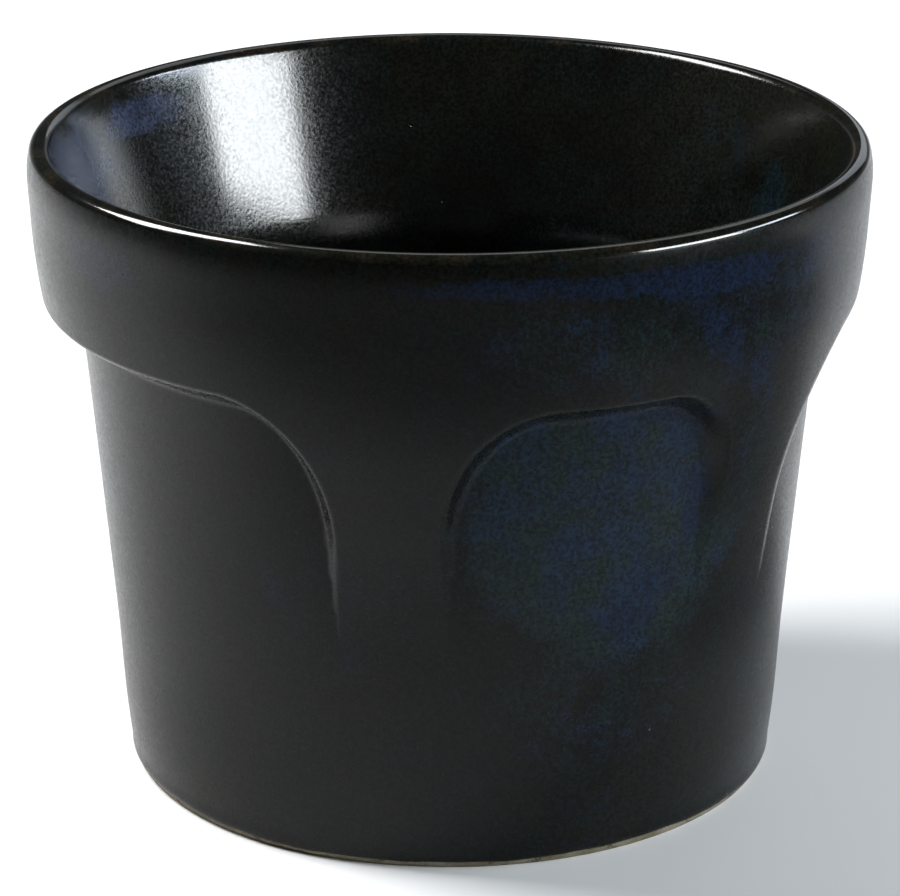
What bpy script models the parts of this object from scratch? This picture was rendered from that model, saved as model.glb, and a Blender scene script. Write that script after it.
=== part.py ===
"""Ceramic tumbler with a stout collar and four ribs that run down from it between arched panels.

The pot is one fired clay wall with three coats of glaze on it. Everything is in metres, the axis of the
pot is Z, and the table it stands on is the plane Z = 0. The narrow panels face -Y and +Y.
"""

import math

import bmesh
import bpy
from mathutils import Matrix, Vector

# Overall size
HEIGHT = 0.074
RIM_RADIUS = 0.048
LIP_THICKNESS = 0.0022
FOOT_RADIUS = 0.0373

# Collar under the lip
COLLAR_DEPTH = 0.017
COLLAR_EDGE_RADIUS = 0.0470

# Panels, measured on the face of the panel
PANEL_TOP_RADIUS = 0.0422
PANEL_TOP_DROP = 0.0030
NARROW_PANEL_WIDTH = 0.0310
PANEL_CORNER_WIDTH = 0.0110
PANEL_CORNER_HEIGHT = 0.0155
PANEL_WALL_DRAFT = math.radians(25.0)

# Ribs between the panels
RIB_WIDTH = 0.0133
RIB_FADE_HEIGHT = 0.027
RIB_SWEEP = 1.10
RIB_RUN_OUT = 0.0003

# Inside
WALL = 0.0036
WAIST_DROP = 0.0020
WAIST_BEND_RADIUS = 0.020
FLOOR_HEIGHT = 0.0060
FLOOR_CORNER_RADIUS = 0.0080

# Foot
FOOT_RING_WIDTH = 0.0060
FOOT_RECESS = 0.0015
FOOT_RECESS_SLOPE = 0.0010
HEEL_CHAMFER = 0.0006

# Glaze coats and the clearance that keeps each coat off the clay and off the next coat
GLAZE = 0.0003
BOND_CLEARANCE = 0.0003
BARE_FOOT_HEIGHT = 0.0010
LINER_JOINT_DEPTH = 0.0030
BASE_GLAZE_MARGIN = 0.0010

# Fineness of the facets
SEGMENTS = 64
LIP_STEPS = 8
BEND_STEPS = 5
FLARE_STEPS = 8
CORNER_STEPS = 7
PANEL_STEP = math.radians(5.0)
SMOOTH_ANGLE = math.radians(22.0)

# How far a cutting body stands clear of what it cuts
CUTTER_CLEARANCE = 0.0045
CUTTER_OVERRUN = 0.0010

# Sizes that follow from the ones above
COLLAR_EDGE_HEIGHT = HEIGHT - COLLAR_DEPTH
PANEL_TOP_HEIGHT = COLLAR_EDGE_HEIGHT - PANEL_TOP_DROP
WAIST_HEIGHT = PANEL_TOP_HEIGHT - WAIST_DROP
LINER_JOINT_HEIGHT = HEIGHT - LINER_JOINT_DEPTH
CUTTER_REACH = COLLAR_EDGE_RADIUS - PANEL_TOP_RADIUS + CUTTER_CLEARANCE
CLAY_INSET = GLAZE + BOND_CLEARANCE
RECESS_RADIUS = FOOT_RADIUS - FOOT_RING_WIDTH
NARROW_HALF_WIDTH = NARROW_PANEL_WIDTH / 2
RIB_PITCH_ANGLE = (NARROW_PANEL_WIDTH + RIB_WIDTH) / PANEL_TOP_RADIUS
WIDE_HALF_WIDTH = (PANEL_TOP_RADIUS * (math.pi - RIB_PITCH_ANGLE) - RIB_WIDTH) / 2

CLAY_COLOUR = (0.42, 0.37, 0.27, 1.0)
OUTER_GLAZE_COLOUR = (0.017, 0.019, 0.020, 1.0)
INNER_GLAZE_COLOUR = (0.010, 0.011, 0.012, 1.0)
BASE_GLAZE_COLOUR = (0.014, 0.015, 0.016, 1.0)


def clear_scene():
    """Take every object out of the scene."""
    for item in list(bpy.data.objects):
        bpy.data.objects.remove(item, do_unlink=True)


def make_material(name, colour, roughness):
    """Return a plain surface with the colour and roughness of one layer of the pot."""
    material = bpy.data.materials.new(name)
    material.use_nodes = True
    shader = material.node_tree.nodes["Principled BSDF"]
    shader.inputs["Base Color"].default_value = colour
    shader.inputs["Roughness"].default_value = roughness
    shader.inputs["Metallic"].default_value = 0.0
    return material


# Outlines, as points of radius and height


def panel_radius(height):
    """Radius of the conical face that the panels show, at a height."""
    slope = (PANEL_TOP_RADIUS - FOOT_RADIUS) / PANEL_TOP_HEIGHT
    return FOOT_RADIUS + slope * height


def rib_radius(height):
    """Radius of the rib's crest, which sweeps out from the cone to the edge of the collar."""
    share = (height - RIB_FADE_HEIGHT) / (COLLAR_EDGE_HEIGHT - RIB_FADE_HEIGHT)
    stand_out = COLLAR_EDGE_RADIUS - panel_radius(COLLAR_EDGE_HEIGHT)
    return panel_radius(height) + stand_out * max(share, 0.0) ** RIB_SWEEP


def bend(before, corner, after, radius):
    """Points of the arc of one radius that rounds the corner between two straight runs."""
    to_before = (before - corner).normalized()
    to_after = (after - corner).normalized()
    half_opening = to_before.angle(to_after) / 2
    middle = (to_before + to_after).normalized()
    centre = corner + middle * radius / math.sin(half_opening)
    tangent_length = radius / math.tan(half_opening)
    first = corner + to_before * tangent_length - centre
    last = corner + to_after * tangent_length - centre
    turn = first.angle_signed(last)
    points = []
    for step in range(BEND_STEPS + 1):
        share = step / BEND_STEPS
        points.append(centre + Matrix.Rotation(-turn * share, 2) @ first)
    return points


def lip_path():
    """Round of the lip, from the mouth's wall over the top to the outside of the collar."""
    round_radius = LIP_THICKNESS / 2
    centre = Vector((RIM_RADIUS - round_radius, HEIGHT - round_radius))
    lean_outside = math.atan2(RIM_RADIUS - COLLAR_EDGE_RADIUS, centre.y - COLLAR_EDGE_HEIGHT)
    start = math.pi - mouth_lean()
    end = -lean_outside
    points = []
    for step in range(LIP_STEPS + 1):
        angle = start + (end - start) * step / LIP_STEPS
        points.append(centre + round_radius * Vector((math.cos(angle), math.sin(angle))))
    return points


def waist_point():
    """Where the upright wall of the inside meets the flaring wall of the mouth."""
    return Vector((panel_radius(WAIST_HEIGHT) - WALL, WAIST_HEIGHT))


def mouth_lean():
    """Angle by which the wall of the mouth leans out from the upright."""
    run = RIM_RADIUS - LIP_THICKNESS - waist_point().x
    rise = HEIGHT - LIP_THICKNESS / 2 - WAIST_HEIGHT
    return math.atan2(run, rise)


def mouth_point(height, inset):
    """Point of the mouth's wall at a height, set back into the wall by an inset."""
    low = waist_point()
    high = lip_path()[0]
    radius = low.lerp(high, (height - low.y) / (high.y - low.y)).x
    return Vector((radius + inset / math.cos(mouth_lean()), height))


def inside_path():
    """Inside of the pot, from the middle of the floor up to the flaring wall of the mouth."""
    middle = Vector((0.0, FLOOR_HEIGHT))
    floor_edge = Vector((panel_radius(FLOOR_HEIGHT) - WALL, FLOOR_HEIGHT))
    floor_bend = bend(middle, floor_edge, waist_point(), FLOOR_CORNER_RADIUS)
    waist_bend = bend(floor_edge, waist_point(), lip_path()[0], WAIST_BEND_RADIUS)
    return [middle] + floor_bend + waist_bend


def outside_path(low_height):
    """Outside along a rib, from the edge of the collar down to a height."""
    points = []
    for step in range(FLARE_STEPS + 1):
        height = COLLAR_EDGE_HEIGHT + (RIB_FADE_HEIGHT - COLLAR_EDGE_HEIGHT) * step / FLARE_STEPS
        points.append(Vector((rib_radius(height), height)))
    points.append(Vector((panel_radius(low_height), low_height)))
    return points


def offset_path(points, distance):
    """Same outline moved to the right of its run, which is into the wall of the pot."""
    moved = []
    for index, point in enumerate(points):
        run_in = points[index] - points[max(index - 1, 0)]
        run_out = points[min(index + 1, len(points) - 1)] - points[index]
        normals = [Vector((run.y, -run.x)).normalized() for run in (run_in, run_out) if run.length > 0]
        middle = sum(normals, Vector((0.0, 0.0))).normalized()
        moved.append(point + middle * distance / middle.dot(normals[0]))
    return moved


# Solids


def turned_object(name, outline):
    """Object turned about the axis of the pot from an outline of radius and height."""
    mesh = bpy.data.meshes.new(name)
    corners = [(point.x, 0.0, point.y) for point in outline]
    runs = [(index, index + 1) for index in range(len(outline) - 1)]
    mesh.from_pydata(corners, runs, [])
    turned = bpy.data.objects.new(name, mesh)
    bpy.context.collection.objects.link(turned)
    screw = turned.modifiers.new("turn", "SCREW")
    screw.axis = "Z"
    screw.angle = math.tau
    screw.steps = SEGMENTS
    screw.render_steps = SEGMENTS
    screw.use_merge_vertices = True
    screw.merge_threshold = 0.00001
    screw.use_smooth_shade = True
    return turned


def arch_outline(half_width, growth):
    """Arch of a panel as points of angle and height, grown outward by a margin all round."""
    half = (half_width + growth) / PANEL_TOP_RADIUS
    corner = (PANEL_CORNER_WIDTH + growth) / PANEL_TOP_RADIUS
    top = PANEL_TOP_HEIGHT + growth
    drop = PANEL_CORNER_HEIGHT + growth
    left = []
    for step in range(CORNER_STEPS + 1):
        turn = math.pi / 2 * step / CORNER_STEPS
        left.append((-half + corner * (1 - math.cos(turn)), top - drop * (1 - math.sin(turn))))
    flat_angle = 2 * (half_width - PANEL_CORNER_WIDTH) / PANEL_TOP_RADIUS
    flat_steps = max(1, round(flat_angle / PANEL_STEP))
    flat = [(-flat_angle / 2 + flat_angle * step / flat_steps, top) for step in range(1, flat_steps)]
    right = [(-angle, height) for angle, height in reversed(left)]
    return left + flat + right


def on_cone(angle, radius, height):
    """Point of the pot at an angle from the direction -Y, counter-clockwise seen from above."""
    return Vector((radius * math.sin(angle), -radius * math.cos(angle), height))


def add_panel_cutter(shape, centre_angle, half_width, inset):
    """Add the body that hollows out one panel to a mesh in the making."""
    inner = arch_outline(half_width, inset)
    outer = arch_outline(half_width, inset + CUTTER_REACH * math.tan(PANEL_WALL_DRAFT))
    low = RIB_FADE_HEIGHT
    rows = []
    for (inner_angle, inner_top), (outer_angle, outer_top) in zip(inner, outer):
        inner_turn = centre_angle + inner_angle
        outer_turn = centre_angle + outer_angle
        corners = (
            on_cone(inner_turn, panel_radius(low) + RIB_RUN_OUT - inset, low),
            on_cone(inner_turn, panel_radius(inner_top) - inset, inner_top),
            on_cone(outer_turn, panel_radius(outer_top) + CUTTER_REACH, outer_top),
            on_cone(outer_turn, panel_radius(low) + CUTTER_REACH, low),
        )
        rows.append([shape.verts.new(corner) for corner in corners])
    for row, following in zip(rows, rows[1:]):
        for side in range(4):
            after = (side + 1) % 4
            shape.faces.new((row[side], row[after], following[after], following[side]))
    shape.faces.new(rows[0])
    shape.faces.new(reversed(rows[-1]))


def panel_cutter(name, inset):
    """Hidden body that hollows out all four panels, with their faces set back by an inset."""
    shape = bmesh.new()
    for quarter in range(4):
        half_width = NARROW_HALF_WIDTH if quarter % 2 == 0 else WIDE_HALF_WIDTH
        add_panel_cutter(shape, quarter * math.pi / 2, half_width, inset)
    bmesh.ops.triangulate(shape, faces=shape.faces)
    bmesh.ops.recalc_face_normals(shape, faces=shape.faces)
    mesh = bpy.data.meshes.new(name)
    shape.to_mesh(mesh)
    shape.free()
    cutter = bpy.data.objects.new(name, mesh)
    bpy.context.collection.objects.link(cutter)
    mark_as_cutter(cutter)
    return cutter


def mark_as_cutter(item):
    """Show a body as a wire guide only."""
    item.hide_render = True
    item.display_type = "WIRE"


def subtract(solid, cutter):
    """Take one body out of another."""
    cut = solid.modifiers.new("less_" + cutter.name, "BOOLEAN")
    cut.operation = "DIFFERENCE"
    cut.solver = "EXACT"
    cut.object = cutter


def finish(solid, material):
    """Settle a solid's modifiers into its mesh, shade it and give it its surface."""
    bpy.context.view_layer.update()
    evaluated = solid.evaluated_get(bpy.context.evaluated_depsgraph_get())
    mesh = bpy.data.meshes.new_from_object(evaluated)
    mesh.name = solid.name
    solid.modifiers.clear()
    solid.data = mesh
    mesh.materials.clear()
    mesh.materials.append(material)
    mesh.shade_smooth()
    mesh.set_sharp_from_angle(angle=SMOOTH_ANGLE)


def build_clay_body():
    """Fired clay wall, floor and foot ring, set back from the finished faces by the coats."""
    wall = offset_path(inside_path() + lip_path() + outside_path(HEEL_CHAMFER), CLAY_INSET)
    heel_radius = wall[-1].x
    recess_height = FOOT_RECESS + CLAY_INSET
    foot = [
        Vector((heel_radius - HEEL_CHAMFER, 0.0)),
        Vector((RECESS_RADIUS, 0.0)),
        Vector((RECESS_RADIUS - FOOT_RECESS_SLOPE, recess_height)),
        Vector((0.0, recess_height)),
    ]
    body = turned_object("clay_body", wall + foot)
    subtract(body, panel_cutter("clay_panel_cutter", CLAY_INSET))
    finish(body, make_material("bare_clay", CLAY_COLOUR, 0.85))


def coat_outline(inset, joint_height, low_height):
    """Outline of the coated outside as a full body, closed across under the lip and at the bottom."""
    face = offset_path(lip_path() + outside_path(low_height), inset)
    low_edge = Vector((panel_radius(low_height) - inset, low_height))
    joint = mouth_point(joint_height, inset)
    return [Vector((0.0, joint_height)), joint] + face[:-1] + [low_edge, Vector((0.0, low_height))]


def build_outer_glaze():
    """Coat on the outside, from the glaze line above the foot up and over the lip."""
    coat = turned_object(
        "outer_glaze",
        coat_outline(0.0, LINER_JOINT_HEIGHT - CUTTER_OVERRUN, BARE_FOOT_HEIGHT),
    )
    core = turned_object(
        "outer_glaze_core",
        coat_outline(GLAZE, LINER_JOINT_HEIGHT, BARE_FOOT_HEIGHT - CUTTER_OVERRUN),
    )
    mark_as_cutter(core)
    subtract(core, panel_cutter("core_panel_cutter", GLAZE))
    subtract(coat, panel_cutter("coat_panel_cutter", 0.0))
    subtract(coat, core)
    finish(coat, make_material("outer_glaze", OUTER_GLAZE_COLOUR, 0.42))


def build_inner_glaze():
    """Coat on the inside, from the floor up to the joint under the lip."""
    top_height = LINER_JOINT_HEIGHT - BOND_CLEARANCE
    face = inside_path() + [mouth_point(top_height, 0.0)]
    back = offset_path(face, GLAZE)[:-1] + [mouth_point(top_height, GLAZE)]
    coat = turned_object("inner_glaze", face + back[::-1])
    finish(coat, make_material("inner_glaze", INNER_GLAZE_COLOUR, 0.16))


def build_base_glaze():
    """Coat on the ceiling of the recess inside the foot ring."""
    edge = RECESS_RADIUS - FOOT_RECESS_SLOPE - BASE_GLAZE_MARGIN
    outline = [
        Vector((0.0, FOOT_RECESS + GLAZE)),
        Vector((edge, FOOT_RECESS + GLAZE)),
        Vector((edge, FOOT_RECESS)),
        Vector((0.0, FOOT_RECESS)),
    ]
    coat = turned_object("base_glaze", outline)
    finish(coat, make_material("base_glaze", BASE_GLAZE_COLOUR, 0.30))


clear_scene()
build_clay_body()
build_outer_glaze()
build_inner_glaze()
build_base_glaze()
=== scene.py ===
"""Looks of the glazed tumbler: fine meshes of its coats and clay, mottled glazes, studio and camera.

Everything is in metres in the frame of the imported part: the axis of the pot is Z, it stands on the
plane Z = 0, and angles round the pot are counted from the direction -Y towards +X.
"""

import logging
import math
from dataclasses import dataclass, replace
from enum import Enum
from typing import Any

import bmesh
import bpy
import numpy as np
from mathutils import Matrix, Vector


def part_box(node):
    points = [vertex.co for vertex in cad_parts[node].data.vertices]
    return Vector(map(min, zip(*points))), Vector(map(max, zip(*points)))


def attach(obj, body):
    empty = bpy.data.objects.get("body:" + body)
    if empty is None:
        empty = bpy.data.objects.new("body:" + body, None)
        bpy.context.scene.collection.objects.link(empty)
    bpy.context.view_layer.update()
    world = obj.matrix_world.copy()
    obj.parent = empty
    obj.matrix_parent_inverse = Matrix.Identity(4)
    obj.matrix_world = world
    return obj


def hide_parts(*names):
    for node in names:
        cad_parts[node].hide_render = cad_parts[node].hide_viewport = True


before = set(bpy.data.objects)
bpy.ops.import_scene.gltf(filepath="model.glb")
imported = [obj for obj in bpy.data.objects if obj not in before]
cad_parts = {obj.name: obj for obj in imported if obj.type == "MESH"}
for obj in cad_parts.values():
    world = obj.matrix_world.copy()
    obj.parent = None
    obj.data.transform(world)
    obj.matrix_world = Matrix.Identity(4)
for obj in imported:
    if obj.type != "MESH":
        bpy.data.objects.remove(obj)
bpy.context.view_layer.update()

MILLIMETRE = 0.001
SHARP_EDGE = math.radians(60.0)
NOISE_MIDDLE = 0.5
WHITE = (1.0, 1.0, 1.0, 1.0)
Colour = tuple[float, float, float, float]
Range = tuple[float, float]
Socket = bpy.types.NodeSocket

log = logging.getLogger("tumbler")


# Formulas shared by the pieces


def soft_least(first: np.ndarray, second: np.ndarray, reach: Any) -> np.ndarray:
    """Lesser of two heights, with the crease between them rounded.

    Args:
        first: Heights of one face.
        second: Heights of the other face.
        reach: Difference of height within which the two faces melt together, one for all points or
            one for each.

    Returns:
        The rounded lesser height.
    """
    near = np.maximum(reach - np.abs(first - second), 0.0) / reach
    return np.minimum(first, second) - near**2 * reach / 4


def soft_greatest(first: np.ndarray, second: np.ndarray, reach: float) -> np.ndarray:
    """Greater of two heights, with the crease between them rounded.

    Args:
        first: Heights of one face.
        second: Heights of the other face.
        reach: Difference of height within which the two faces melt together.

    Returns:
        The rounded greater height.
    """
    return -soft_least(-first, -second, reach)


def eased(value: np.ndarray, low: float, high: float) -> np.ndarray:
    """Smooth share from 0 at the low value to 1 at the high value."""
    share = np.clip((value - low) / (high - low), 0.0, 1.0)
    return share * share * (3 - 2 * share)


@dataclass(frozen=True)
class Ripple:
    """One wave round the pot, which may drift with the height."""

    turns: int
    phase: float
    size: float
    drift: float = 0.0


WALL_RIPPLES = (
    Ripple(2, 0.6, 1.0),
    Ripple(3, -1.1, 0.6, 40.0),
    Ripple(7, 2.0, 0.35, -90.0),
    Ripple(1, 0.0, 0.3, 150.0),
)

GLAZE_LINE_RIPPLES = (
    Ripple(3, 0.8, 1.0),
    Ripple(8, -0.4, 0.7),
    Ripple(19, 1.9, 0.5),
    Ripple(41, 0.0, 0.3),
)


def rippled(ripples: tuple[Ripple, ...], angle: np.ndarray, height: Any = 0.0) -> np.ndarray:
    """Unevenness that several waves make together.

    Args:
        ripples: The waves.
        angle: Angles round the pot.
        height: Heights above the table.

    Returns:
        Half the sum of the waves at each point.
    """
    waves = [
        ripple.size * np.sin(ripple.turns * angle + ripple.phase + ripple.drift * height)
        for ripple in ripples
    ]
    return sum(waves) / 2


@dataclass(frozen=True)
class Panel:
    """Arched hollow in the side of the pot, measured on the face of the panel."""

    centre_angle: float
    half_width: float
    right_corner: float = 1.0
    wall_draft: float = math.radians(25.0)
    crest_round: float = 0.0014
    inset: float = 0.0


@dataclass(frozen=True)
class PotForm:
    """Sizes of the pot and the formulas of its faces."""

    height: float
    rim_radius: float
    lip_outer_round: float = 0.0012
    lip_inner_round: float = 0.00125
    lip_turn: float = math.radians(75.0)
    shoulder_reach: float = 0.0032
    shoulder_lean: float = math.radians(16.0)
    foot_radius: float = 0.0373
    collar_depth: float = 0.017
    collar_edge_radius: float = 0.0470
    panel_top_radius: float = 0.0422
    panel_top_drop: float = 0.0030
    narrow_panel_width: float = 0.0310
    panel_corner_width: float = 0.0110
    panel_corner_height: float = 0.0155
    square_corner: float = 0.75
    rib_width: float = 0.0133
    rib_fade_height: float = 0.033
    rib_fade_round: float = 0.30
    wall: float = 0.0036
    waist_drop: float = 0.0020
    waist_bend_radius: float = 0.020
    floor_height: float = 0.0060
    floor_corner_radius: float = 0.0080
    foot_ring_width: float = 0.0060
    foot_recess: float = 0.0015
    foot_recess_slope: float = 0.0010
    heel_swell: float = 0.00025
    heel_swell_height: float = 0.0070
    joint_depth: float = 0.0030
    collar_round: float = 0.0016
    soft_wall_draft: float = math.radians(42.0)
    soft_crest_round: float = 0.0030
    soft_wall_inset: float = 0.0026
    cove_round: float = 0.0018
    wave_depth: float = 0.00007
    least_corner: float = 0.9
    halvings: int = 40

    @property
    def collar_edge_height(self) -> float:
        """Height of the lower edge of the collar."""
        return self.height - self.collar_depth

    @property
    def panel_top_height(self) -> float:
        """Height of the top of the panels."""
        return self.collar_edge_height - self.panel_top_drop

    @property
    def lip_step(self) -> np.ndarray:
        """Step from the centre of the lip's outer round to that of its inner round."""
        spoke = np.array((math.cos(self.lip_turn), math.sin(self.lip_turn)))
        return (self.lip_outer_round - self.lip_inner_round) * spoke

    @property
    def outer_lip_centre(self) -> np.ndarray:
        """Centre of the round on the outer side of the lip.

        Returns:
            Its radius and height.
        """
        top = self.height - self.lip_inner_round - self.lip_step[1]
        edge = self.rim_radius - self.shoulder_drop
        return np.array((edge - self.lip_outer_round * math.cos(self.shoulder_lean), top))

    @property
    def shoulder_drop(self) -> float:
        """How far the shoulder under the lip leans in from the line of the collar."""
        return self.shoulder_reach * math.tan(self.shoulder_lean) / 2

    @property
    def shoulder_top(self) -> float:
        """Height at which the shoulder passes into the round of the lip."""
        return self.outer_lip_centre[1] + self.lip_outer_round * math.sin(self.shoulder_lean)

    @property
    def inner_lip_centre(self) -> np.ndarray:
        """Centre of the round on the inner side of the lip, as radius and height."""
        return self.outer_lip_centre + self.lip_step

    @property
    def waist(self) -> np.ndarray:
        """Point where the upright wall of the inside meets the flaring mouth."""
        waist_height = self.panel_top_height - self.waist_drop
        return np.array((self.cone(waist_height) - self.wall, waist_height))

    @property
    def mouth_lean(self) -> float:
        """Angle by which the wall of the mouth leans out from the upright."""
        run = self.inner_lip_centre[0] - self.lip_inner_round - self.waist[0]
        return math.atan2(run, self.inner_lip_centre[1] - self.waist[1])

    @property
    def collar_lean(self) -> float:
        """Angle by which the outside of the collar leans out from the upright."""
        rise = self.shoulder_top - self.collar_edge_height
        return math.atan2(self.rim_radius - self.collar_edge_radius, rise)

    @property
    def panels(self) -> list[Panel]:
        """The panels in front, at the right, behind and at the left, the right one with a softer wall.

        Returns:
            The four panels.
        """
        pitch = (self.narrow_panel_width + self.rib_width) / self.panel_top_radius
        wide_half = (self.panel_top_radius * (math.pi - pitch) - self.rib_width) / 2
        narrow_half = self.narrow_panel_width / 2
        soft_wall = (self.soft_wall_draft, self.soft_crest_round, self.soft_wall_inset)
        return [
            Panel(0.0, narrow_half, self.square_corner),
            Panel(math.pi / 2, wide_half, 1.0, *soft_wall),
            Panel(math.pi, narrow_half),
            Panel(3 * math.pi / 2, wide_half),
        ]

    @property
    def rib_angles(self) -> list[float]:
        """Angles of the four ribs."""
        half_pitch = (self.narrow_panel_width + self.rib_width) / self.panel_top_radius / 2
        return [half_pitch, math.pi - half_pitch, math.pi + half_pitch, math.tau - half_pitch]

    def cone(self, height: Any) -> Any:
        """Radius of the cone that the panels show, at a height or at many."""
        slope = (self.panel_top_radius - self.foot_radius) / self.panel_top_height
        return self.foot_radius + slope * height

    def stand_out(self, height: np.ndarray) -> np.ndarray:
        """How far the ribs and the collar stand out from the cone.

        Args:
            height: Heights above the table.

        Returns:
            The distance at each height.
        """
        edge = self.collar_edge_height
        share = (height - self.rib_fade_height) / (edge - self.rib_fade_height)
        swept = soft_greatest(np.zeros_like(share), share, self.rib_fade_round)
        flare = (self.collar_edge_radius - self.cone(edge)) * swept
        collar = self.collar_edge_radius + (height - edge) * math.tan(self.collar_lean)
        return soft_least(flare, collar - self.cone(height), self.collar_round)

    def panel_growth(self, panel: Panel, angle: np.ndarray, height: np.ndarray) -> np.ndarray:
        """How far outside the arch of a panel each point lies, negative inside it.

        Args:
            panel: The panel.
            angle: Angles round the pot.
            height: Heights above the table.

        Returns:
            The margin by which the arch has to grow to reach each point.
        """
        turned = (angle - panel.centre_angle + math.pi) % math.tau - math.pi
        across = np.abs(turned) * self.panel_top_radius + 0.0 * height
        corner = np.where(turned > 0.0, panel.right_corner, 1.0) + 0.0 * across
        corner_width = self.panel_corner_width * corner
        corner_height = self.panel_corner_height * corner
        side = across - (panel.half_width - corner_width)
        rise = height - (self.panel_top_height - corner_height) + 0.0 * across
        low = -self.least_corner * corner_width
        high = np.full(side.shape, self.height)
        for _ in range(self.halvings):
            middle = (low + high) / 2
            wide = side / (corner_width + middle)
            tall = rise / (corner_height + middle)
            outside = wide**2 + tall**2 > 1.0
            low = np.where(outside, middle, low)
            high = np.where(outside, high, middle)
        growth = (low + high) / 2
        growth = np.where(rise <= 0.0, side - corner_width, growth)
        growth = np.where(side <= 0.0, np.maximum(rise - corner_height, side - corner_width), growth)
        return growth + panel.inset

    def panel_wall(self, angle: np.ndarray, height: np.ndarray) -> tuple[np.ndarray, np.ndarray]:
        """Height of the nearest panel's wall over the panel's face, and the round of its crest.

        Args:
            angle: Angles round the pot.
            height: Heights above the table.

        Returns:
            The height and the round at each point.
        """
        panels = self.panels
        margins = np.stack([self.panel_growth(panel, angle, height) for panel in panels])
        nearest = margins.argmin(axis=0)
        slopes = np.array([1.0 / math.tan(panel.wall_draft) for panel in panels])[nearest]
        crests = np.array([panel.crest_round for panel in panels])[nearest]
        rise = margins.min(axis=0) * slopes
        return soft_greatest(np.zeros_like(rise), rise, self.cove_round), crests

    def wave(self, angle: np.ndarray, height: np.ndarray) -> np.ndarray:
        """Slight unevenness of a wall that was turned and trimmed by hand."""
        return self.wave_depth * rippled(WALL_RIPPLES, angle, height)

    def outside(self, angle: np.ndarray, height: np.ndarray) -> np.ndarray:
        """Radius of the finished outside.

        Args:
            angle: Angles round the pot.
            height: Heights above the table.

        Returns:
            The radius at each point.
        """
        wall, crest = self.panel_wall(angle, height)
        relief = soft_least(self.stand_out(height) + 0.0 * wall, wall, crest)
        swell = np.exp(-(((height - self.heel_swell_height) / self.heel_swell_height) ** 2))
        shoulder = np.clip(1 - (self.shoulder_top - height) / self.shoulder_reach, 0.0, 1.0)
        bowed = self.heel_swell * swell - self.shoulder_drop * shoulder**2
        return self.cone(height) + np.maximum(relief, 0.0) + bowed + self.wave(angle, height)


@dataclass(frozen=True)
class Section:
    """Rows of a turned wall: each row's radius and height, and the way out of the wall there."""

    points: np.ndarray
    outward: np.ndarray

    def joined(self, other: "Section") -> "Section":
        """This run of rows followed by another run."""
        points = np.concatenate((self.points, other.points))
        return Section(points, np.concatenate((self.outward, other.outward)))

    def flipped(self) -> "Section":
        """The same rows in the other order."""
        return Section(self.points[::-1], self.outward[::-1])


def arc_section(
    centre: np.ndarray, radius: float, start: float, end: float, steps: int, way: int
) -> Section:
    """Rows along an arc.

    Args:
        centre: Centre of the arc, as radius and height.
        radius: Radius of the arc.
        start: Angle of the first row, from the radial direction upward.
        end: Angle of the last row.
        steps: Number of steps along the arc.
        way: 1 where the clay lies on the inside of the arc, -1 where it lies outside it.

    Returns:
        The rows.
    """
    angles = np.linspace(start, end, steps + 1)
    spokes = np.stack((np.cos(angles), np.sin(angles)), axis=1)
    return Section(centre + radius * spokes, way * spokes)


def straight_section(start: np.ndarray, end: np.ndarray, steps: int) -> Section:
    """Rows strictly between two points, with the way out on the left of the run.

    Args:
        start: Point before the first row, as radius and height.
        end: Point after the last row.
        steps: Number of steps between the two points.

    Returns:
        The rows.
    """
    shares = np.linspace(0.0, 1.0, steps + 1)[1:-1, None]
    run = (end - start) / np.linalg.norm(end - start)
    outward = np.tile((-run[1], run[0]), (len(shares), 1))
    return Section(start + (end - start) * shares, outward)


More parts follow.
